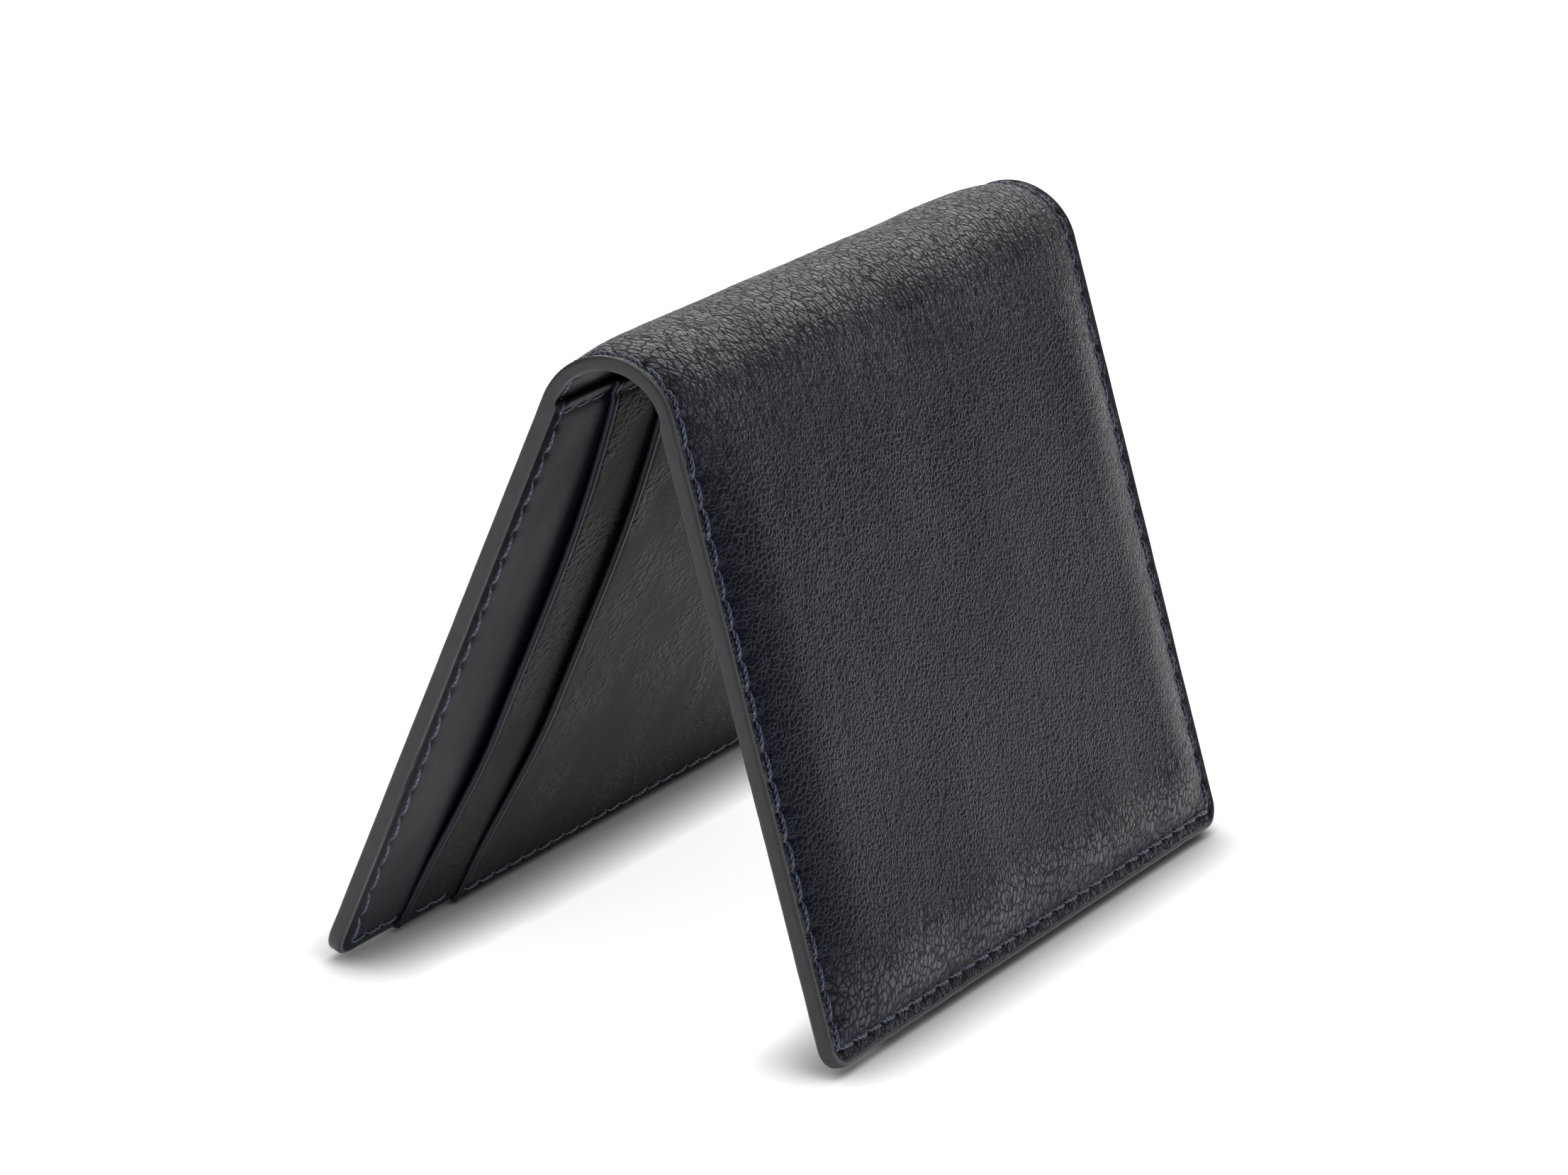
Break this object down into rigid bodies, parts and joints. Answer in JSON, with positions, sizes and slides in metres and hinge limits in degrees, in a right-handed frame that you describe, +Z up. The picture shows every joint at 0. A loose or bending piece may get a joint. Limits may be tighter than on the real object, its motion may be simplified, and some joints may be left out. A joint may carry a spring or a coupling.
{
  "type": "bifold wallet",
  "caption": "Slim leather bifold wallet standing as a tent, with stitched panels, painted edges and overlapping card pockets inside each half.",
  "frame": {"origin": "on the floor, under the middle of the fold", "axes": "+Z up; the fold runs along Y, with the top edge in use (the pocket mouths' side) at -Y; the front panel leans towards +X"},
  "size_m": [0.0654, 0.105, 0.0766],
  "materials": {
    "shell_leather": "navy pebbled leather, satin",
    "lining_leather": "dark smooth lining leather, matt",
    "pocket_leather": "dark navy leather, fine grain, satin",
    "edge_paint": "matt dark grey edge paint",
    "thread": "navy polyester thread with a slight sheen",
    "filler_board": "bonded leather fibre board"
  },
  "bodies": {
    "back_panel": {"back_shell": "shell_leather", "back_filler": "filler_board", "back_lining": "lining_leather", "back_base_panel": "pocket_leather", "back_first_pocket": "pocket_leather", "back_second_pocket": "pocket_leather", "back_edge_paint": "edge_paint", "back_outer_stitches": "thread", "back_inner_stitches": "thread", "back_hem_stitches": "thread"},
    "spine_1": {"spine_shell_1": "shell_leather", "spine_lining_1": "lining_leather", "spine_edge_paint_1": "edge_paint", "spine_stitches_1": "thread"},
    "spine_2": {"spine_shell_2": "shell_leather", "spine_lining_2": "lining_leather", "spine_edge_paint_2": "edge_paint", "spine_stitches_2": "thread"},
    "front_panel": {"front_shell": "shell_leather", "front_filler": "filler_board", "front_lining": "lining_leather", "front_base_panel": "pocket_leather", "front_first_pocket": "pocket_leather", "front_second_pocket": "pocket_leather", "front_edge_paint": "edge_paint", "front_outer_stitches": "thread", "front_inner_stitches": "thread", "front_hem_stitches": "thread"}
  },
  "joints": [
    {"name": "fold_1", "type": "hinge", "parent": "back_panel", "child": "spine_1", "pos_m": [-0.00622, 0, 0.07388], "axis": [0, -1, 0], "range_deg": [-13, 47]},
    {"name": "fold_2", "type": "hinge", "parent": "spine_1", "child": "spine_2", "pos_m": [0, 0, 0.07659], "axis": [0, -1, 0], "range_deg": [-13, 47]},
    {"name": "fold_3", "type": "hinge", "parent": "spine_2", "child": "front_panel", "pos_m": [0.00622, 0, 0.07388], "axis": [0, -1, 0], "range_deg": [-13, 47]}
  ],
  "couplings": [
    {"joint": "fold_2", "follows": "fold_1", "ratio": 1},
    {"joint": "fold_3", "follows": "fold_1", "ratio": 1}
  ]
}
